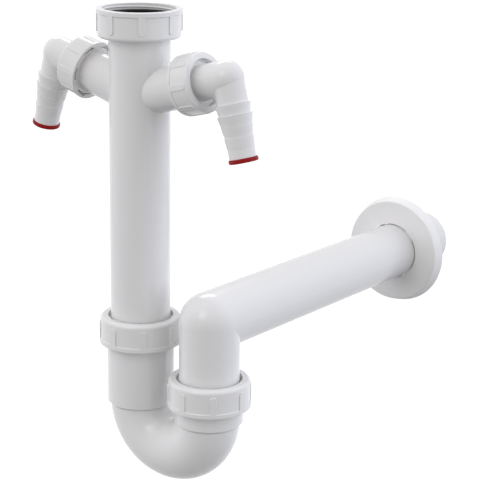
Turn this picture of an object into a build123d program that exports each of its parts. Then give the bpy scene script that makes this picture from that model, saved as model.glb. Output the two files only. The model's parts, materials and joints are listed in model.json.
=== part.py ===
"""Tubular sink trap: union nut inlet, two hose branches, U-bend, outlet pipe and wall flange.

The origin is the centre of the inlet nut's mouth. +Z is up along the inlet axis, +X points from
the inlet leg to the outlet leg, and +Y runs along the outlet pipe towards the wall.
"""
import os
from math import cos, radians, sin, sqrt

from build123d import *

os.makedirs("parts", exist_ok=True)

# Waste tubes
tube_diameter = 40.0
tube_wall = 2.0
tube_lead_in = 1.2
leg_gap = 20.0

# Levels below the mouth of the inlet nut
branch_drop = 56.0
outlet_axis_drop = 198.0
bend_inlet_nut_drop = 205.5
bend_outlet_nut_drop = 236.2
inlet_tube_drop = 254.0
outlet_leg_drop = 257.5
bend_centre_drop = 264.2
socket_foot_drop = 266.0
socket_floor_drop = 262.0

# Gaps between pieces
running_gap = 0.05
loose_gap = 0.35
face_gap = 0.1

# Large union nuts
nut_wall = 3.2
nut_height = 18.7
nut_lip = 3.0
nut_rim = 3.1
nut_recess = 0.7
nut_rib_width = 4.4
nut_rib_length = 11.7
nut_rib_corner = 2.1
nut_edge_radius = 2.5

# Ribs and soft edges of every nut
rib_count = 8
rib_edge_radius = 0.3
rim_edge_radius = 0.4

# Inlet union: thread of the nut, collar of the tube and flat washer
inlet_thread_step = 3.9
inlet_thread_depth = 4.0
inlet_thread_relief = 0.5
inlet_collar_step = 3.5
washer_thickness = 3.8
washer_bore_step = 0.2

# U-bend and the slip joints at its two sockets
bend_step = 0.5
bend_wall = 2.2
socket_wall = 2.15
socket_thread_step = 2.05
socket_thread_length = 11.0
socket_taper = 3.0
slip_nut_hole_gap = 1.95
slip_nut_lip = 2.6
seal_flange = 2.4
seal_taper_length = 6.0
seal_root_thickness = 2.6
seal_tip_thickness = 0.6

# Outlet pipe and wall flange
outlet_reach = 265.0
spigot_length = 37.0
spigot_groove_width = 2.0
spigot_groove_depth = 0.6
flange_inset = 47.6
flange_width = 20.0
flange_taper = 2.3
flange_depth = 7.4
flange_skin = 2.2
flange_edge_radius = 1.0
flange_hole_gap = 0.7
flange_tab_count = 4
flange_tab_width = 10.0
flange_tab_angle = 45.0

# Hose branches
branch_tilt = 15.0
branch_diameter = 28.3
branch_bore = 22.0
branch_thread_diameter = 32.6
branch_nut_place = 41.6
branch_nut_diameter = 39.4
branch_nut_height = 15.9
branch_nut_lip = 3.5
branch_nut_rim = 2.5
branch_nut_recess = 0.5
branch_nut_hole = 30.0
branch_nut_edge_radius = 1.5
branch_rib_width = 3.8
branch_rib_length = 11.5
branch_rib_corner = 1.4
branch_thread_inset = 0.6
branch_washer_thickness = 2.0
pocket_count = 6
pocket_width = 1.5
pocket_angle = 20.0
pocket_depth = 2.0

# Hose elbows, their barbed nozzles and the blanking plugs
elbow_reach = 75.1
elbow_leg_diameter = 22.7
elbow_flange_diameter = 31.8
elbow_corner_inset = 1.0
elbow_flange = 2.6
elbow_bore = 16.0
nozzle_leg_diameter = 20.2
nozzle_bore = 13.0
nozzle_length = 50.0
barb_start = 16.1
barb_pitch = 6.85
barb_tops = (22.7, 22.7, 20.4, 18.9)
barb_foots = (20.2, 19.8, 17.9, 17.6)
nozzle_land_diameter = 17.3
plug_diameter = 18.9
plug_thickness = 2.8
plug_edge_radius = 0.8
plug_spigot_length = 8.0

# Sizes worked out from the ones above
tube_radius = tube_diameter / 2
tube_bore_radius = tube_radius - tube_wall
leg_spacing = tube_diameter + leg_gap
bend_radius = tube_radius + bend_step
bend_bore_radius = bend_radius - bend_wall
socket_bore_radius = tube_radius + loose_gap
socket_radius = socket_bore_radius + socket_wall
socket_thread_radius = socket_radius + socket_thread_step
slip_nut_bore_radius = socket_thread_radius + loose_gap
slip_nut_hole_radius = tube_radius + slip_nut_hole_gap
nut_radius = socket_thread_radius + nut_wall
seal_bore_radius = tube_radius + running_gap
seal_flange_radius = socket_thread_radius - loose_gap
inlet_thread_radius = tube_radius + inlet_thread_step
inlet_relief_radius = inlet_thread_radius + inlet_thread_relief
inlet_collar_radius = tube_radius + inlet_collar_step
washer_bore_radius = tube_bore_radius + washer_bore_step
flange_radius = tube_radius + flange_width
flange_place = outlet_reach - flange_inset
branch_nut_bore = branch_thread_diameter + 2 * loose_gap
washer_top = -inlet_thread_depth - face_gap
collar_top = washer_top - washer_thickness
collar_foot = nut_lip + face_gap - nut_height
branch_end = branch_nut_place + branch_nut_height - branch_nut_lip - face_gap - elbow_flange
branch_end -= face_gap + branch_washer_thickness

branch_sides = {"left": -1, "right": 1}


def side_plane(plane):
    """Plane through the axis of `plane`, with X outwards and Y along that axis."""
    return Plane(plane.origin, x_dir=plane.x_dir, z_dir=-plane.y_dir)


def turning_axis(plane):
    return Axis(plane.origin, plane.z_dir)


def branch_plane(side, distance):
    """Plane across a hose branch, its Z along the branch away from the inlet tube."""
    along = Vector(branch_sides[side] * cos(radians(branch_tilt)), 0, sin(radians(branch_tilt)))
    return Plane(Vector(0, 0, -branch_drop) + along * distance, x_dir=(0, 1, 0), z_dir=along)


def nozzle_plane(side, distance):
    """Plane across a hose nozzle, its Z along the nozzle towards the open end."""
    out = Vector(branch_sides[side] * sin(radians(branch_tilt)), 0, -cos(radians(branch_tilt)))
    return Plane(branch_plane(side, elbow_reach).origin + out * distance, x_dir=(0, 1, 0), z_dir=out)


def rib_planes(plane, radius):
    """Planes that face outwards round a nut, with X along the nut from its mouth."""
    planes = []
    for index in range(rib_count):
        angle = radians(360 / rib_count * index)
        outwards = plane.x_dir * cos(angle) + plane.y_dir * sin(angle)
        planes.append(Plane(plane.origin + outwards * radius, x_dir=plane.z_dir, z_dir=outwards))
    return planes


def union_nut(plane, profile, diameter, rim, recess, rib_width, rib_length, rib_corner, edge_radius):
    """Ribbed nut with its mouth on `plane`. `profile` is the inside line from mouth to closed face."""
    panel_radius = diameter / 2 - recess
    height = profile[-1][1]
    rib_face = sqrt((diameter / 2) ** 2 - (rib_width / 2 - rib_edge_radius) ** 2)
    with BuildPart() as ribs:
        with BuildSketch(*rib_planes(plane, rib_face)):
            with Locations((rim + (rib_length - rib_corner) / 2, 0)):
                RectangleRounded(rib_length + rib_corner, rib_width, rib_corner)
        extrude(amount=-2 * recess)
        fillet(ribs.faces().sort_by_distance(plane.origin)[-rib_count:].edges(), rib_edge_radius)
    with BuildPart() as nut:
        with BuildSketch(side_plane(plane)):
            with BuildLine():
                Polyline(
                    *profile,
                    (panel_radius, height),
                    (panel_radius, rim),
                    (diameter / 2, rim),
                    (diameter / 2, 0),
                    close=True,
                )
            make_face()
        revolve(axis=turning_axis(plane))
        closed_face_edges = nut.edges().group_by(turning_axis(plane))[-1]
        fillet(closed_face_edges.sort_by(SortBy.RADIUS)[-1], edge_radius)
        rim_edges = nut.edges().filter_by(GeomType.CIRCLE).sort_by(SortBy.RADIUS)[-2:]
        fillet(rim_edges, rim_edge_radius)
        add(ribs.part)
    return nut


# Inlet tube: collar, straight tube and the two hose branches, moulded in one piece
branch_planes = [branch_plane(side, 0) for side in branch_sides]
with BuildPart() as inlet_tube:
    with BuildSketch(Plane.XY.offset(-inlet_tube_drop)):
        Circle(tube_radius)
    extrude(amount=inlet_tube_drop + collar_top)
    chamfer(inlet_tube.edges().sort_by(Axis.Z)[0], tube_lead_in)
    with BuildSketch(Plane.XY.offset(collar_foot)):
        Circle(inlet_collar_radius)
    extrude(amount=collar_top - collar_foot)
    with BuildSketch(*branch_planes):
        Circle(branch_diameter / 2)
    extrude(amount=branch_end)
    with BuildSketch(*[branch_plane(side, branch_end) for side in branch_sides]):
        Circle(branch_thread_diameter / 2)
    extrude(amount=branch_nut_place + branch_thread_inset - branch_end)
    with BuildSketch(*branch_planes):
        Circle(branch_bore / 2)
    extrude(amount=branch_end, mode=Mode.SUBTRACT)
    with BuildSketch(Plane.XY.offset(-inlet_tube_drop)):
        Circle(tube_bore_radius)
    extrude(amount=inlet_tube_drop + collar_top, mode=Mode.SUBTRACT)
inlet_tube.part.label = "inlet_tube"
export_step(inlet_tube.part, "parts/inlet_tube.step")

# Inlet nut: mouth up, captive under the collar of the tube
inlet_nut_profile = [
    (inlet_thread_radius, 0),
    (inlet_thread_radius, inlet_thread_depth),
    (inlet_relief_radius, inlet_thread_depth),
    (inlet_relief_radius, nut_height - nut_lip),
    (tube_radius + loose_gap, nut_height - nut_lip),
    (tube_radius + loose_gap, nut_height),
]
inlet_nut = union_nut(
    Plane((0, 0, 0), x_dir=(1, 0, 0), z_dir=(0, 0, -1)),
    inlet_nut_profile,
    2 * nut_radius,
    nut_rim,
    nut_recess,
    nut_rib_width,
    nut_rib_length,
    nut_rib_corner,
    nut_edge_radius,
)
inlet_nut.part.label = "inlet_nut"
export_step(inlet_nut.part, "parts/inlet_nut.step")

# Inlet washer: flat rubber ring on the collar
with BuildPart() as inlet_washer:
    with BuildSketch(Plane.XY.offset(collar_top)):
        Circle(inlet_collar_radius)
        Circle(washer_bore_radius, mode=Mode.SUBTRACT)
    extrude(amount=washer_thickness)
inlet_washer.part.label = "inlet_washer"
export_step(inlet_washer.part, "parts/inlet_washer.step")

# U-bend: half ring with a threaded socket on each leg
bend_inlet = Plane((0, 0, -bend_inlet_nut_drop))
bend_outlet = Plane((leg_spacing, 0, -bend_outlet_nut_drop))
socket_drop = slip_nut_lip + seal_flange + 2 * face_gap
seal_slope = (seal_root_thickness - seal_tip_thickness) / seal_taper_length
seat_radius = seal_bore_radius + seal_root_thickness + loose_gap
seat_length = (seat_radius - socket_bore_radius) / seal_slope
ring_plane = Plane((0, 0, -bend_centre_drop))
ring_axis = Axis((leg_spacing / 2, 0, -bend_centre_drop), (0, -1, 0))
with BuildPart() as u_bend:
    with BuildSketch(ring_plane):
        Circle(bend_radius)
        Circle(bend_bore_radius, mode=Mode.SUBTRACT)
    revolve(axis=ring_axis, revolution_arc=180)
    for top in (bend_inlet, bend_outlet):
        foot = -socket_foot_drop - top.origin.Z
        floor = -socket_floor_drop - top.origin.Z
        ring_top = -bend_centre_drop - top.origin.Z
        thread_foot = -socket_drop - socket_thread_length
        with BuildSketch(side_plane(top)):
            with BuildLine():
                Polyline(
                    (seat_radius, -socket_drop),
                    (socket_thread_radius, -socket_drop),
                    (socket_thread_radius, thread_foot),
                    (socket_radius, thread_foot),
                    (socket_radius, foot),
                    (socket_radius - socket_taper, foot - socket_taper),
                    (bend_bore_radius + bend_wall / 4, ring_top),
                    (bend_bore_radius, ring_top),
                    (bend_bore_radius, floor),
                    (socket_bore_radius, floor),
                    (socket_bore_radius, -socket_drop - seat_length),
                    close=True,
                )
            make_face()
        revolve(axis=turning_axis(top))
u_bend.part.label = "u_bend"
export_step(u_bend.part, "parts/u_bend.step")

# Slip nuts and tapered seals of the U-bend
slip_nut_profile = [
    (slip_nut_bore_radius, 0),
    (slip_nut_bore_radius, nut_height - slip_nut_lip),
    (slip_nut_hole_radius, nut_height - slip_nut_lip),
    (slip_nut_hole_radius, nut_height),
]
for leg, top in {"inlet": bend_inlet, "outlet": bend_outlet}.items():
    slip_nut = union_nut(
        top.offset(-nut_height),
        slip_nut_profile,
        2 * nut_radius,
        nut_rim,
        nut_recess,
        nut_rib_width,
        nut_rib_length,
        nut_rib_corner,
        nut_edge_radius,
    )
    slip_nut.part.label = f"u_bend_{leg}_nut"
    export_step(slip_nut.part, f"parts/u_bend_{leg}_nut.step")

    seal_top = top.offset(-slip_nut_lip - face_gap)
    with BuildPart() as seal:
        with BuildSketch(side_plane(seal_top)):
            with BuildLine():
                Polyline(
                    (seal_bore_radius, 0),
                    (seal_flange_radius, 0),
                    (seal_flange_radius, -seal_flange),
                    (seal_bore_radius + seal_root_thickness, -seal_flange),
                    (seal_bore_radius + seal_tip_thickness, -seal_flange - seal_taper_length),
                    (seal_bore_radius, -seal_flange - seal_taper_length),
                    close=True,
                )
            make_face()
        revolve(axis=turning_axis(seal_top))
    seal.part.label = f"u_bend_{leg}_seal"
    export_step(seal.part, f"parts/u_bend_{leg}_seal.step")

# Outlet pipe: leg into the U-bend, round elbow and straight pipe through the wall
elbow_plane = Plane((leg_spacing, 0, -outlet_axis_drop), x_dir=(1, 0, 0), z_dir=(0, 1, 0))
outlet_leg_plane = Plane((leg_spacing, 0, -outlet_leg_drop))
leg_length = outlet_leg_drop - outlet_axis_drop
groove_plane = elbow_plane.offset(outlet_reach - spigot_length - spigot_groove_width)
with BuildPart() as outlet_pipe:
    with BuildSketch(outlet_leg_plane):
        Circle(tube_radius)
    extrude(amount=leg_length)
    chamfer(outlet_pipe.edges().sort_by(Axis.Z)[0], tube_lead_in)
    with BuildSketch(elbow_plane):
        Circle(tube_radius)
    extrude(amount=outlet_reach)
    chamfer(outlet_pipe.edges().sort_by(Axis.Y)[-1], tube_lead_in)
    with BuildSketch(groove_plane):
        Circle(tube_radius)
        Circle(tube_radius - spigot_groove_depth, mode=Mode.SUBTRACT)
    extrude(amount=spigot_groove_width, mode=Mode.SUBTRACT)
    with Locations(elbow_plane.origin):
        Sphere(tube_radius)
    with BuildSketch(outlet_leg_plane):
        Circle(tube_bore_radius)
    extrude(amount=leg_length, mode=Mode.SUBTRACT)
    with BuildSketch(elbow_plane):
        Circle(tube_bore_radius)
    extrude(amount=outlet_reach, mode=Mode.SUBTRACT)
    with Locations(elbow_plane.origin):
        Sphere(tube_bore_radius, mode=Mode.SUBTRACT)
outlet_pipe.part.label = "outlet_pipe"
export_step(outlet_pipe.part, "parts/outlet_pipe.step")

# Wall flange: hollow-backed rosette that slides on the outlet pipe and grips it with small tabs
flange_plane = elbow_plane.offset(flange_place)
flange_hole_radius = tube_radius + flange_hole_gap
with BuildPart() as wall_flange:
    with BuildSketch(side_plane(flange_plane)):
        with BuildLine():
            Polyline(
                (flange_hole_radius, 0),
                (flange_radius - flange_taper, 0),
                (flange_radius, flange_depth),
                (flange_radius - flange_skin, flange_depth),
                (flange_radius - flange_taper - flange_skin, flange_skin),
                (flange_hole_radius + flange_skin, flange_skin),
                (flange_hole_radius + flange_skin, flange_depth),
                (flange_hole_radius, flange_depth),
                close=True,
            )
        make_face()
    revolve(axis=turning_axis(flange_plane))
    front_edges = wall_flange.edges().group_by(Axis.Y)[0]
    fillet(front_edges.sort_by(SortBy.RADIUS)[-1], flange_edge_radius)
    with BuildSketch(flange_plane):
        with PolarLocations(flange_hole_radius, flange_tab_count, start_angle=flange_tab_angle):
            Rectangle(2 * flange_hole_gap, flange_tab_width)
        Circle(tube_radius + running_gap, mode=Mode.SUBTRACT)
    extrude(amount=flange_depth)
wall_flange.part.label = "wall_flange"
export_step(wall_flange.part, "parts/wall_flange.step")

# Hose branches: nut, washer, swivel elbow with barbed nozzle, and blanking plug on each side
branch_nut_profile = [
    (branch_nut_bore / 2, 0),
    (branch_nut_bore / 2, branch_nut_height - branch_nut_lip),
    (branch_nut_hole / 2, branch_nut_height - branch_nut_lip),
    (branch_nut_hole / 2, branch_nut_height),
]
nozzle_land_start = barb_start + barb_pitch * len(barb_tops)
barb_outline = []
for index, (top, foot) in enumerate(zip(barb_tops, barb_foots)):
    barb_outline.append((top / 2, barb_start + barb_pitch * index))
    barb_outline.append((foot / 2, barb_start + barb_pitch * (index + 1)))

with BuildLine() as pocket_arc:
    CenterArc((0, 0), branch_nut_bore / 2, -pocket_angle / 2, pocket_angle)

for side in branch_sides:
    nut_mouth = branch_plane(side, branch_nut_place)
    plain_nut = union_nut(
        nut_mouth,
        branch_nut_profile,
        branch_nut_diameter,
        branch_nut_rim,
        branch_nut_recess,
        branch_rib_width,
        branch_rib_length,
        branch_rib_corner,
        branch_nut_edge_radius,
    )
    with BuildPart() as branch_nut:
        add(plain_nut.part)
        with BuildSketch(nut_mouth):
            with PolarLocations(0, pocket_count):
                SlotArc(pocket_arc.wires()[0], 2 * pocket_width)
        extrude(amount=pocket_depth, mode=Mode.SUBTRACT)
    branch_nut.part.label = f"{side}_branch_nut"
    export_step(branch_nut.part, f"parts/{side}_branch_nut.step")

    with BuildPart() as branch_washer:
        with BuildSketch(branch_plane(side, branch_end)):
            Circle(elbow_flange_diameter / 2)
            Circle(branch_bore / 2, mode=Mode.SUBTRACT)
        extrude(amount=branch_washer_thickness)
    branch_washer.part.label = f"{side}_branch_washer"
    export_step(branch_washer.part, f"parts/{side}_branch_washer.step")

    elbow_back = branch_plane(side, branch_end + branch_washer_thickness + face_gap)
    corner = nozzle_plane(side, 0)
    corner_centre = branch_plane(side, elbow_reach - elbow_corner_inset).origin
    leg_run = elbow_reach - (branch_end + branch_washer_thickness + face_gap)
    with BuildPart() as hose_elbow:
        with BuildSketch(elbow_back):
            Circle(elbow_flange_diameter / 2)
        extrude(amount=elbow_flange)
        with BuildSketch(elbow_back):
            Circle(elbow_leg_diameter / 2)
        extrude(amount=leg_run - elbow_corner_inset)
        with Locations(corner_centre):
            Sphere(elbow_leg_diameter / 2)
        with BuildSketch(side_plane(corner)):
            with BuildLine():
                Polyline(
                    (0, 0),
                    (nozzle_leg_diameter / 2, 0),
                    (nozzle_leg_diameter / 2, barb_start),
                    *barb_outline,
                    (nozzle_land_diameter / 2, nozzle_land_start),
                    (nozzle_land_diameter / 2, nozzle_length),
                    (0, nozzle_length),
                    close=True,
                )
            make_face()
        revolve(axis=turning_axis(corner))
        with BuildSketch(elbow_back):
            Circle(elbow_bore / 2)
        extrude(amount=leg_run, mode=Mode.SUBTRACT)
        with BuildSketch(corner):
            Circle(nozzle_bore / 2)
        extrude(amount=nozzle_length, mode=Mode.SUBTRACT)
        with Locations(corner.origin):
            Sphere(elbow_bore / 2, mode=Mode.SUBTRACT)
    hose_elbow.part.label = f"{side}_hose_elbow"
    export_step(hose_elbow.part, f"parts/{side}_hose_elbow.step")

    plug_face = nozzle_plane(side, nozzle_length + face_gap)
    with BuildPart() as hose_plug:
        with BuildSketch(plug_face):
            Circle(plug_diameter / 2)
        extrude(amount=plug_thickness)
        fillet(hose_plug.edges().filter_by(GeomType.CIRCLE), plug_edge_radius)
        with BuildSketch(plug_face):
            Circle(nozzle_bore / 2 - running_gap)
        extrude(amount=-plug_spigot_length)
    hose_plug.part.label = f"{side}_hose_plug"
    export_step(hose_plug.part, f"parts/{side}_hose_plug.step")
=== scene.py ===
"""Tubular sink trap: finishes, inlet nut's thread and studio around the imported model.

Laid out as an add-on. Every length is in metres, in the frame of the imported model: the origin is
the centre of the inlet nut's mouth, +Z is up along the inlet axis, +X points from the inlet leg to
the outlet leg, and +Y runs along the outlet pipe towards the wall.
"""
import json
from math import tau

import bmesh
import bpy
from bpy.props import FloatProperty, FloatVectorProperty, IntProperty, PointerProperty
from bpy.types import Operator, Panel, PropertyGroup
from mathutils import Matrix, Vector


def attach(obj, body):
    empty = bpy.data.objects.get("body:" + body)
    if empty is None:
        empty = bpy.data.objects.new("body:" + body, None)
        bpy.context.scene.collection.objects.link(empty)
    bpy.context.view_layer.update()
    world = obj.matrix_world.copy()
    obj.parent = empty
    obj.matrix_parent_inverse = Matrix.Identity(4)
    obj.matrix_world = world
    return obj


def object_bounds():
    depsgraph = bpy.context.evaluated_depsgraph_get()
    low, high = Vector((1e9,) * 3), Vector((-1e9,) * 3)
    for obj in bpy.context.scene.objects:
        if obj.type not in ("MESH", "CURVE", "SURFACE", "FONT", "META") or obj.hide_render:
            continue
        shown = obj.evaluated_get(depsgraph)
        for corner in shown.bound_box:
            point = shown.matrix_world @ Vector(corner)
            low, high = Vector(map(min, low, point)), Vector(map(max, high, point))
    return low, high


bl_info = {
    "name": "Tubular sink trap",
    "version": (1, 0, 0),
    "blender": (4, 5, 0),
    "location": "View3D > Sidebar > Trap",
    "description": "Finishes, inlet nut's thread and studio for a tubular sink trap",
    "category": "Object",
}

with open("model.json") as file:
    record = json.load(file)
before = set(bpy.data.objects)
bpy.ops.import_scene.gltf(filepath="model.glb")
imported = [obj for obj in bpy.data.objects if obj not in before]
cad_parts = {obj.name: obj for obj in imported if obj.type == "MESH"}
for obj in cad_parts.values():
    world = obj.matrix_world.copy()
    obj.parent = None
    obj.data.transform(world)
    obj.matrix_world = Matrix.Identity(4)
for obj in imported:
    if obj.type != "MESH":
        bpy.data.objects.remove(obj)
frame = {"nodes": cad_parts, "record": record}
cad_low, cad_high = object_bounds()

MM = 0.001

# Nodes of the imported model, by the finish that they get
MOULDED_NODES = (
    "inlet_nut",
    "left_branch_nut",
    "right_branch_nut",
    "left_hose_elbow",
    "right_hose_elbow",
    "u_bend",
    "u_bend_inlet_nut",
    "u_bend_outlet_nut",
)
TUBE_NODES = {"inlet_tube": "Z", "outlet_pipe": "Y"}
SEAL_NODES = ("u_bend_inlet_seal", "u_bend_outlet_seal")
RUBBER_NODES = ("inlet_washer", "left_branch_washer", "right_branch_washer")
PLUG_NODES = ("left_hose_plug", "right_hose_plug")

# Size of the clouds in the plastic's colour, and of the smears in its gloss
CLOUD_SIZE = 35.0 * MM
SMEAR_SIZE = 6.0 * MM

# Depth of the relief in every skin
RELIEF_DEPTH = 0.004 * MM

# White plastic: how far its colour swings, and on the tubes how much the pattern is drawn out
# along the run and how large the waves are beside those of the mouldings
WHITE_CLOUDINESS = 0.012
DRAWN_SCALE = 0.06
DRAWN_WAVES = 0.5

# Thread: half width of its foot in pitches, of its crest in feet, how deep the foot is sunk in the
# wall, how far above the end of the bore its middle starts, and its turns
THREAD_FOOT = 0.34
THREAD_CREST = 0.25
THREAD_SINK = 0.1 * MM
THREAD_START = 0.8 * MM
THREAD_TURNS = 1.0

# Directions that the surround's light is named by, seen from the trap, and how closely the light
# gathers about them
LIGHT_SIDES = {
    "left_side": (-0.745, -0.585, 0.32),
    "right_side": (0.765, 0.60, 0.23),
}
LIGHT_FOCUS = 2.0

# Lamps: the direction that each one stands in, seen from the trap, its distance and size, and
# whether it shows in the gloss alone
LAMPS = {
    "rear_strip": {
        "direction": (-0.55, 0.45, 0.72),
        "distance": 1.4,
        "size": (0.9, 0.36),
        "gloss_only": True,
    },
    "front_window": {
        "direction": (0.06, -0.80, 0.60),
        "distance": 1.6,
        "size": (0.7, 0.7),
        "gloss_only": False,
    },
}

# Floor: its radius and corners, and how white it looks to the camera apart from the light on it
FLOOR_RADIUS = 15.0
FLOOR_CORNERS = 64
FLOOR_GLOW = 0.85

# Camera: where it stands, where it looks, where the right of the picture points, the width of its
# sensor in millimetres, and the nearest and farthest that it sees
CAMERA_PLACE = (0.6496, -0.7235, 0.1261)
CAMERA_FORWARD = (-0.5919, 0.75713, -0.27645)
CAMERA_RIGHT = (0.78535, 0.61891, 0.01357)
SENSOR_WIDTH = 36.0
CAMERA_NEAR = 0.05
CAMERA_FAR = 100.0


class TrapFinishes(PropertyGroup):
    """Colours and surface of the plastics and rubber."""

    white: FloatVectorProperty(
        name="White plastic",
        description="Colour of the tubes, nuts, elbows and U-bend",
        subtype="COLOR",
        size=4,
        min=0.0,
        max=1.0,
        default=(0.80, 0.80, 0.80, 1.0),
    )
    # The flange's colour is lighter than the other white plastic: painted light that makes up for the
    # shade that the outlet pipe, U-bend and tube cast on its face
    flange: FloatVectorProperty(
        name="Flange plastic",
        description="Colour of the wall flange",
        subtype="COLOR",
        size=4,
        min=0.0,
        max=1.0,
        default=(0.95, 0.95, 0.95, 1.0),
    )
    seal: FloatVectorProperty(
        name="Seal plastic",
        description="Colour of the tapered seals in the sockets",
        subtype="COLOR",
        size=4,
        min=0.0,
        max=1.0,
        default=(0.62, 0.62, 0.61, 1.0),
    )
    rubber: FloatVectorProperty(
        name="Washer rubber",
        description="Colour of the flat washers",
        subtype="COLOR",
        size=4,
        min=0.0,
        max=1.0,
        default=(0.012, 0.012, 0.011, 1.0),
    )
    plug: FloatVectorProperty(
        name="Plug plastic",
        description="Colour of the blanking plugs",
        subtype="COLOR",
        size=4,
        min=0.0,
        max=1.0,
        default=(0.31, 0.003, 0.004, 1.0),
    )
    gloss: FloatProperty(
        name="White roughness",
        description="Mean roughness of the white plastic",
        subtype="FACTOR",
        min=0.05,
        max=1.0,
        default=0.20,
    )
    grain: FloatProperty(
        name="Grain size",
        description="Size of the finest grain that the mould leaves on the plastic",
        subtype="DISTANCE",
        min=0.0001,
        max=0.01,
        default=0.0006,
    )
    waviness: FloatProperty(
        name="Waviness size",
        description="Size of the shallow waves that shrinkage leaves in thick plastic",
        subtype="DISTANCE",
        min=0.001,
        max=0.1,
        default=0.012,
    )


class TrapThreads(PropertyGroup):
    """Screw thread in the mouth of the inlet nut."""

    pitch: FloatProperty(
        name="Pitch",
        description="Rise of the thread in one turn",
        subtype="DISTANCE",
        min=0.0005,
        max=0.01,
        default=2.309 * MM,
    )
    height: FloatProperty(
        name="Height",
        description="How far the thread stands out of the bore",
        subtype="DISTANCE",
        min=0.0001,
        max=0.003,
        default=0.45 * MM,
    )
    steps: IntProperty(
        name="Steps in a turn",
        description="Segments of one turn of thread",
        min=24,
        max=256,
        default=96,
    )


class TrapStudio(PropertyGroup):
    """Floor, lamps and camera."""

    floor_gap: FloatProperty(
        name="Floor gap",
        description="Height of the hanging trap above the floor",
        subtype="DISTANCE",
        min=0.0,
        max=3.0,
        default=0.30,
    )
    room: FloatVectorProperty(
        name="Room",
        description="Even light that comes from all round",
        subtype="COLOR",
        min=0.0,
        max=3.0,
        default=(0.24, 0.21, 0.15),
    )
    left_side: FloatVectorProperty(
        name="Left side",
        description="Light added from the left of the picture",
        subtype="COLOR",
        min=0.0,
        max=3.0,
        default=(1.56, 1.58, 1.74),
    )
    right_side: FloatVectorProperty(
        name="Right side",
        description="Light added from the right of the picture",
        subtype="COLOR",
        min=0.0,
        max=3.0,
        default=(1.87, 1.97, 2.27),
    )
    rear_strip: FloatProperty(
        name="Rear strip",
        description="Power of the long lamp behind the trap that gives the highlights, in watts",
        unit="POWER",
        min=0.0,
        max=100.0,
        default=4.0,
    )
    front_window: FloatProperty(
        name="Front window",
        description="Power of the square lamp on the left of the camera, in watts",
        unit="POWER",
        min=0.0,
        max=100.0,
        default=2.4,
    )
    floor: FloatVectorProperty(
        name="Floor",
        description="Colour of the floor",
        subtype="COLOR",
        min=0.0,
        max=1.0,
        default=(0.24, 0.24, 0.24),
    )
    lens: FloatProperty(
        name="Lens",
        description="Focal length for a 36 mm wide sensor, in millimetres",
        unit="CAMERA",
        min=10.0,
        max=500.0,
        default=113.97,
    )


def new_group(name, inputs, outputs):
    """Empty shader node group with its sockets; returns the group and its two end nodes."""
    group = bpy.data.node_groups.new(name, "ShaderNodeTree")
    for socket, kind, default in inputs:
        item = group.interface.new_socket(socket, in_out="INPUT", socket_type=kind)
        if default is not None:
            item.default_value = default
    for socket, kind in outputs:
        group.interface.new_socket(socket, in_out="OUTPUT", socket_type=kind)
    start = group.nodes.new("NodeGroupInput")
    end = group.nodes.new("NodeGroupOutput")
    start.location = (-900, 0)
    end.location = (600, 0)
    return group, start, end


def math_node(tree, operation, first, second):
    """Math node whose inputs are sockets or plain numbers; returns its output socket."""
    node = tree.nodes.new("ShaderNodeMath")
    node.operation = operation
    for socket, value in zip(node.inputs, (first, second)):
        if isinstance(value, (int, float)):
            socket.default_value = value
        else:
            tree.links.new(value, socket)
    return node.outputs[0]


def noise_node(tree, vector, size, detail):
    """Noise whose features are about `size` across; returns its value socket, from 0 to 1."""
    node = tree.nodes.new("ShaderNodeTexNoise")
    node.inputs["Detail"].default_value = detail
    node.inputs["Roughness"].default_value = 0.5
    tree.links.new(vector, node.inputs["Vector"])
    tree.links.new(math_node(tree, "DIVIDE", 1.0, size), node.inputs["Scale"])
    return node.outputs["Fac"]


def spread(tree, value, amount):
    """Turns a 0 to 1 value into a factor that swings by `amount` either side of 1."""
    centred = math_node(tree, "SUBTRACT", value, 0.5)
    doubled = math_node(tree, "MULTIPLY", centred, 2.0)
    return math_node(tree, "ADD", math_node(tree, "MULTIPLY", doubled, amount), 1.0)


def make_moulded_skin():
    """Node group: cloudiness of the colour, uneven gloss, and the grain and waves of a moulding."""
    group, start, end = new_group(
        "moulded_skin",
        (
            ("Vector", "NodeSocketVector", None),
            ("Colour", "NodeSocketColor", (0.8, 0.8, 0.8, 1.0)),
            ("Cloudiness", "NodeSocketFloat", 0.02),
            ("Roughness", "NodeSocketFloat", 0.3),
            ("Unevenness", "NodeSocketFloat", 0.12),
            ("Grain size", "NodeSocketFloat", 0.6 * MM),
            ("Wave size", "NodeSocketFloat", 12.0 * MM),
            ("Wave share", "NodeSocketFloat", 0.6),
        ),
        (
            ("Colour", "NodeSocketColor"),
            ("Roughness", "NodeSocketFloat"),
            ("Height", "NodeSocketFloat"),
        ),
    )
    vector = start.outputs["Vector"]
    clouds = noise_node(group, vector, CLOUD_SIZE, detail=2.0)
    smears = noise_node(group, vector, SMEAR_SIZE, detail=3.0)
    grain = noise_node(group, vector, start.outputs["Grain size"], detail=2.0)
    waves = noise_node(group, vector, start.outputs["Wave size"], detail=0.0)

    tint = group.nodes.new("ShaderNodeVectorMath")
    tint.operation = "SCALE"
    group.links.new(start.outputs["Colour"], tint.inputs[0])
    group.links.new(spread(group, clouds, start.outputs["Cloudiness"]), tint.inputs["Scale"])
    group.links.new(tint.outputs["Vector"], end.inputs["Colour"])

    gloss = math_node(
        group,
        "MULTIPLY",
        start.outputs["Roughness"],
        spread(group, smears, start.outputs["Unevenness"]),
    )
    group.links.new(gloss, end.inputs["Roughness"])

    grain_share = math_node(group, "SUBTRACT", 1.0, start.outputs["Wave share"])
    low = math_node(group, "MULTIPLY", waves, start.outputs["Wave share"])
    high = math_node(group, "MULTIPLY", grain, grain_share)
    group.links.new(math_node(group, "ADD", low, high), end.inputs["Height"])
    return group


def skin_group():
    """The shared moulded skin, built the first time it is asked for."""
    return bpy.data.node_groups.get("moulded_skin") or make_moulded_skin()


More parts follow.
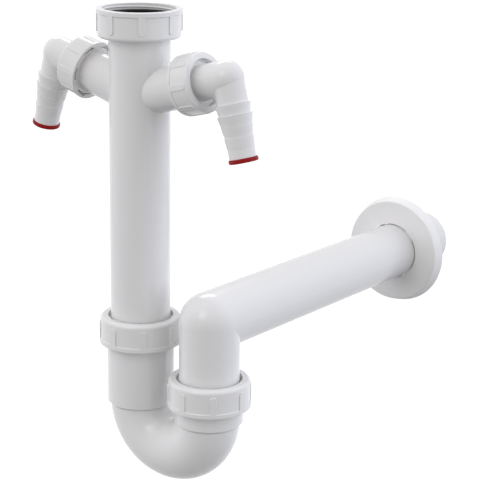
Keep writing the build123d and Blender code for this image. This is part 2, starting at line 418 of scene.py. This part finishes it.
def plastic_material(
    name,
    colour,
    roughness,
    stretch=(1.0, 1.0, 1.0),
    ior=1.49,
    specular=0.8,
    relief=0.12,
    **skin_values,
):
    """Principled material that takes its colour, gloss and relief from the moulded skin group."""
    material = bpy.data.materials.new(name)
    material.use_nodes = True
    tree = material.node_tree
    shader = tree.nodes["Principled BSDF"]
    shader.inputs["IOR"].default_value = ior
    shader.inputs["Specular IOR Level"].default_value = specular

    place = tree.nodes.new("ShaderNodeTexCoord")
    mapping = tree.nodes.new("ShaderNodeMapping")
    mapping.inputs["Scale"].default_value = stretch
    tree.links.new(place.outputs["Object"], mapping.inputs["Vector"])

    skin = tree.nodes.new("ShaderNodeGroup")
    skin.node_tree = skin_group()
    skin.inputs["Colour"].default_value = colour
    skin.inputs["Roughness"].default_value = roughness
    for socket, value in skin_values.items():
        skin.inputs[socket].default_value = value
    tree.links.new(mapping.outputs["Vector"], skin.inputs["Vector"])
    tree.links.new(skin.outputs["Colour"], shader.inputs["Base Color"])
    tree.links.new(skin.outputs["Roughness"], shader.inputs["Roughness"])

    bump = tree.nodes.new("ShaderNodeBump")
    bump.inputs["Strength"].default_value = relief
    bump.inputs["Distance"].default_value = RELIEF_DEPTH
    tree.links.new(skin.outputs["Height"], bump.inputs["Height"])
    tree.links.new(bump.outputs["Normal"], shader.inputs["Normal"])
    return material


def dress(node, material):
    """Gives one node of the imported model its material."""
    mesh = frame["nodes"][node].data
    mesh.materials.clear()
    mesh.materials.append(material)


def white_material(finishes):
    """The white of the moulded pieces, built the first time it is asked for."""
    found = bpy.data.materials.get("white_moulding")
    if found:
        return found
    return plastic_material(
        "white_moulding",
        finishes.white,
        finishes.gloss,
        **{
            "Cloudiness": WHITE_CLOUDINESS,
            "Grain size": finishes.grain,
            "Wave size": finishes.waviness,
        },
    )


class TRAP_OT_finish_mouldings(Operator):
    """White plastic on the nuts, elbows and U-bend"""

    bl_idname = "trap.finish_mouldings"
    bl_label = "Finish white mouldings"

    def execute(self, context):
        material = white_material(context.scene.trap_finishes)
        for node in MOULDED_NODES:
            dress(node, material)
        return {"FINISHED"}


class TRAP_OT_finish_tubes(Operator):
    """White plastic with faint drawn lines on the inlet tube and outlet pipe"""

    bl_idname = "trap.finish_tubes"
    bl_label = "Finish white tubes"

    def execute(self, context):
        finishes = context.scene.trap_finishes
        for node, run in TUBE_NODES.items():
            material = plastic_material(
                f"white_{node}",
                finishes.white,
                finishes.gloss,
                stretch=[DRAWN_SCALE if axis == run else 1.0 for axis in "XYZ"],
                **{
                    "Cloudiness": WHITE_CLOUDINESS,
                    "Grain size": finishes.grain,
                    "Wave size": DRAWN_WAVES * finishes.waviness,
                },
            )
            dress(node, material)
        return {"FINISHED"}


class TRAP_OT_finish_flange(Operator):
    """White, finely textured plastic on the wall flange, its colour set lighter than the other white
    plastic as painted light that makes up for the shade cast on the flange's face
    """

    bl_idname = "trap.finish_flange"
    bl_label = "Finish wall flange"

    def execute(self, context):
        material = plastic_material(
            "flange_plastic",
            context.scene.trap_finishes.flange,
            roughness=0.45,
            **{"Cloudiness": 0.015, "Grain size": 0.8 * MM, "Wave share": 0.1},
            relief=0.3,
            ior=1.3,
            specular=0.5,
        )
        dress("wall_flange", material)
        return {"FINISHED"}


class TRAP_OT_finish_seals(Operator):
    """Soft off-white plastic on the seals and black rubber on the washers"""

    bl_idname = "trap.finish_seals"
    bl_label = "Finish seals and washers"

    def execute(self, context):
        finishes = context.scene.trap_finishes
        soft = plastic_material(
            "seal_plastic",
            finishes.seal,
            roughness=0.5,
            Cloudiness=0.03,
            relief=0.1,
        )
        rubber = plastic_material(
            "washer_rubber",
            finishes.rubber,
            roughness=0.85,
            **{"Cloudiness": 0.25, "Grain size": 0.35 * MM, "Wave share": 0.2},
            relief=0.5,
            specular=0.08,
        )
        for node in SEAL_NODES:
            dress(node, soft)
        for node in RUBBER_NODES:
            dress(node, rubber)
        return {"FINISHED"}


class TRAP_OT_finish_plugs(Operator):
    """Red plastic on the blanking plugs"""

    bl_idname = "trap.finish_plugs"
    bl_label = "Finish hose plugs"

    def execute(self, context):
        finishes = context.scene.trap_finishes
        red = plastic_material(
            "plug_plastic",
            finishes.plug,
            roughness=0.4,
            **{"Cloudiness": 0.05, "Grain size": 0.5 * MM},
            relief=0.2,
            specular=0.2,
        )
        for node in PLUG_NODES:
            dress(node, red)
        return {"FINISHED"}


def thread_mesh(name, radius, bottom, turns, threads):
    """Ridge wound up inside a bore round the Z axis, its ends closed."""
    foot = threads.pitch * THREAD_FOOT
    crest = foot * THREAD_CREST
    sunk = radius + THREAD_SINK
    tip = radius - threads.height
    corners = ((sunk, -foot), (tip, -crest), (tip, crest), (sunk, foot))
    ridge = bmesh.new()
    profile = [ridge.verts.new((x, 0, z)) for x, z in corners]
    edges = [ridge.edges.new((a, b)) for a, b in zip(profile, profile[1:] + profile[:1])]
    steps = int(threads.steps * turns)
    bmesh.ops.spin(
        ridge,
        geom=profile + edges,
        cent=(0, 0, 0),
        axis=(0, 0, 1),
        dvec=(0, 0, threads.pitch / threads.steps),
        angle=tau * steps / threads.steps,
        steps=steps,
    )
    open_edges = [edge for edge in ridge.edges if edge.is_boundary]
    bmesh.ops.holes_fill(ridge, edges=open_edges, sides=0)
    bmesh.ops.recalc_face_normals(ridge, faces=ridge.faces)
    bmesh.ops.translate(ridge, verts=ridge.verts, vec=(0, 0, bottom))
    mesh = bpy.data.meshes.new(name)
    ridge.to_mesh(mesh)
    ridge.free()
    return mesh


def add_piece(name, mesh, body, material):
    """Puts a finished mesh in the scene as a piece that rides on a body."""
    mesh.materials.append(material)
    piece = bpy.data.objects.new(name, mesh)
    bpy.context.scene.collection.objects.link(piece)
    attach(piece, body)


class TRAP_OT_thread_inlet_nut(Operator):
    """Screw thread inside the mouth of the inlet nut"""

    bl_idname = "trap.thread_inlet_nut"
    bl_label = "Thread the inlet nut"

    def execute(self, context):
        threads = context.scene.trap_threads
        mounts = {mount["name"]: mount["dims"] for mount in frame["record"]["mounts"]}
        bore_radius = mounts["inlet_thread"]["r_mm"] * MM
        bore_depth = mounts["inlet_thread"]["length_mm"] * MM
        bottom = THREAD_START - bore_depth
        mesh = thread_mesh("inlet_nut_thread", bore_radius, bottom, THREAD_TURNS, threads)
        add_piece(
            "inlet_nut_thread",
            mesh,
            "inlet_nut",
            white_material(context.scene.trap_finishes),
        )
        return {"FINISHED"}


def white_to_view(tree):
    """Socket that is 1 for what the camera sees, also in gloss and through glass, and 0 for light."""
    rays = tree.nodes.new("ShaderNodeLightPath").outputs
    gloss = math_node(tree, "MAXIMUM", rays["Is Glossy Ray"], rays["Is Transmission Ray"])
    return math_node(tree, "MAXIMUM", rays["Is Camera Ray"], gloss)


def floor_material(colour):
    """Pale floor that takes shadows and looks white to the camera."""
    material = bpy.data.materials.new("pale_floor")
    material.use_nodes = True
    tree = material.node_tree
    shader = tree.nodes["Principled BSDF"]
    shader.inputs["Base Color"].default_value = (*colour, 1.0)
    shader.inputs["Roughness"].default_value = 0.8
    shader.inputs["Emission Color"].default_value = (1.0, 1.0, 1.0, 1.0)
    glow = math_node(tree, "MULTIPLY", white_to_view(tree), FLOOR_GLOW)
    tree.links.new(glow, shader.inputs["Emission Strength"])
    return material


def build_world(studio):
    """Surround that lights the trap from named sides, and is plain white where it is seen."""
    world = bpy.context.scene.world or bpy.data.worlds.new("studio")
    bpy.context.scene.world = world
    world.use_nodes = True
    tree = world.node_tree
    tree.nodes.clear()
    output = tree.nodes.new("ShaderNodeOutputWorld")
    place = tree.nodes.new("ShaderNodeTexCoord")
    even = tree.nodes.new("ShaderNodeCombineXYZ")
    for axis, value in zip("XYZ", studio.room):
        even.inputs[axis].default_value = value
    total = even.outputs["Vector"]
    for side, direction in LIGHT_SIDES.items():
        towards = tree.nodes.new("ShaderNodeVectorMath")
        towards.operation = "DOT_PRODUCT"
        towards.inputs[1].default_value = direction
        tree.links.new(place.outputs["Generated"], towards.inputs[0])
        tinted = tree.nodes.new("ShaderNodeVectorMath")
        tinted.operation = "SCALE"
        tinted.inputs[0].default_value = getattr(studio, side)
        facing = math_node(tree, "MAXIMUM", towards.outputs["Value"], 0.0)
        tree.links.new(math_node(tree, "POWER", facing, LIGHT_FOCUS), tinted.inputs["Scale"])
        joined = tree.nodes.new("ShaderNodeVectorMath")
        joined.operation = "ADD"
        tree.links.new(total, joined.inputs[0])
        tree.links.new(tinted.outputs["Vector"], joined.inputs[1])
        total = joined.outputs["Vector"]
    light = tree.nodes.new("ShaderNodeBackground")
    tree.links.new(total, light.inputs["Color"])
    seen = tree.nodes.new("ShaderNodeBackground")
    seen.inputs["Color"].default_value = (1.0, 1.0, 1.0, 1.0)
    mix = tree.nodes.new("ShaderNodeMixShader")
    tree.links.new(white_to_view(tree), mix.inputs["Fac"])
    tree.links.new(light.outputs["Background"], mix.inputs[1])
    tree.links.new(seen.outputs["Background"], mix.inputs[2])
    tree.links.new(mix.outputs["Shader"], output.inputs["Surface"])


def add_softbox(name, target, power, direction, distance, size, gloss_only):
    """Rectangular lamp that faces `target` from the given direction."""
    lamp = bpy.data.lights.new(name, "AREA")
    lamp.shape = "RECTANGLE"
    lamp.size, lamp.size_y = size
    lamp.energy = power
    box = bpy.data.objects.new(name, lamp)
    away = Vector(direction).normalized()
    turn = away.to_track_quat("Z", "Y").to_matrix().to_4x4()
    box.matrix_world = Matrix.Translation(Vector(target) + away * distance) @ turn
    box.visible_diffuse = not gloss_only
    bpy.context.scene.collection.objects.link(box)


def add_camera(studio):
    """Camera at the photograph's viewing angle."""
    forward = Vector(CAMERA_FORWARD).normalized()
    right = Vector(CAMERA_RIGHT)
    right = (right - forward * right.dot(forward)).normalized()
    up = right.cross(forward)
    turn = Matrix((right, up, -forward)).transposed().to_4x4()
    lens = bpy.data.cameras.new("camera")
    lens.sensor_width = SENSOR_WIDTH
    lens.lens = studio.lens
    lens.clip_start = CAMERA_NEAR
    lens.clip_end = CAMERA_FAR
    camera = bpy.data.objects.new("camera", lens)
    camera.matrix_world = Matrix.Translation(CAMERA_PLACE) @ turn
    bpy.context.scene.collection.objects.link(camera)
    bpy.context.scene.camera = camera


class TRAP_OT_set_stage(Operator):
    """Pale floor, soft lamps, white surround and camera"""

    bl_idname = "trap.set_stage"
    bl_label = "Set the stage"

    def execute(self, context):
        studio = context.scene.trap_studio
        context.scene.view_settings.view_transform = "Standard"
        plane = bmesh.new()
        bmesh.ops.create_circle(
            plane,
            cap_ends=True,
            radius=FLOOR_RADIUS,
            segments=FLOOR_CORNERS,
            matrix=Matrix.Translation((0, 0, cad_low.z - studio.floor_gap)),
        )
        mesh = bpy.data.meshes.new("floor")
        plane.to_mesh(mesh)
        plane.free()
        mesh.materials.append(floor_material(studio.floor))
        floor = bpy.data.objects.new("floor", mesh)
        context.scene.collection.objects.link(floor)
        build_world(studio)
        middle = (cad_low + cad_high) / 2
        for name, lamp in LAMPS.items():
            add_softbox(name, middle, getattr(studio, name), **lamp)
        add_camera(studio)
        return {"FINISHED"}


PIECE_OPERATORS = (
    TRAP_OT_finish_mouldings,
    TRAP_OT_finish_tubes,
    TRAP_OT_finish_flange,
    TRAP_OT_finish_seals,
    TRAP_OT_finish_plugs,
    TRAP_OT_thread_inlet_nut,
    TRAP_OT_set_stage,
)


class TRAP_PT_panel(Panel):
    """Sidebar panel with the trap's steps and settings"""

    bl_idname = "TRAP_PT_panel"
    bl_label = "Tubular trap"
    bl_space_type = "VIEW_3D"
    bl_region_type = "UI"
    bl_category = "Trap"

    def draw(self, context):
        scene = context.scene
        for group in (scene.trap_finishes, scene.trap_threads, scene.trap_studio):
            box = self.layout.box()
            for setting in group.__annotations__:
                box.prop(group, setting)
        for operator in PIECE_OPERATORS:
            self.layout.operator(operator.bl_idname)


CLASSES = (TrapFinishes, TrapThreads, TrapStudio, *PIECE_OPERATORS, TRAP_PT_panel)


def register():
    for cls in CLASSES:
        bpy.utils.register_class(cls)
    bpy.types.Scene.trap_finishes = PointerProperty(type=TrapFinishes)
    bpy.types.Scene.trap_threads = PointerProperty(type=TrapThreads)
    bpy.types.Scene.trap_studio = PointerProperty(type=TrapStudio)


def unregister():
    del bpy.types.Scene.trap_studio
    del bpy.types.Scene.trap_threads
    del bpy.types.Scene.trap_finishes
    for cls in reversed(CLASSES):
        bpy.utils.unregister_class(cls)


def main():
    """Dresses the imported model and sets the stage."""
    register()
    bpy.ops.trap.finish_mouldings()
    bpy.ops.trap.finish_tubes()
    bpy.ops.trap.finish_flange()
    bpy.ops.trap.finish_seals()
    bpy.ops.trap.finish_plugs()
    bpy.ops.trap.thread_inlet_nut()
    bpy.ops.trap.set_stage()


if __name__ == "__main__":
    main()
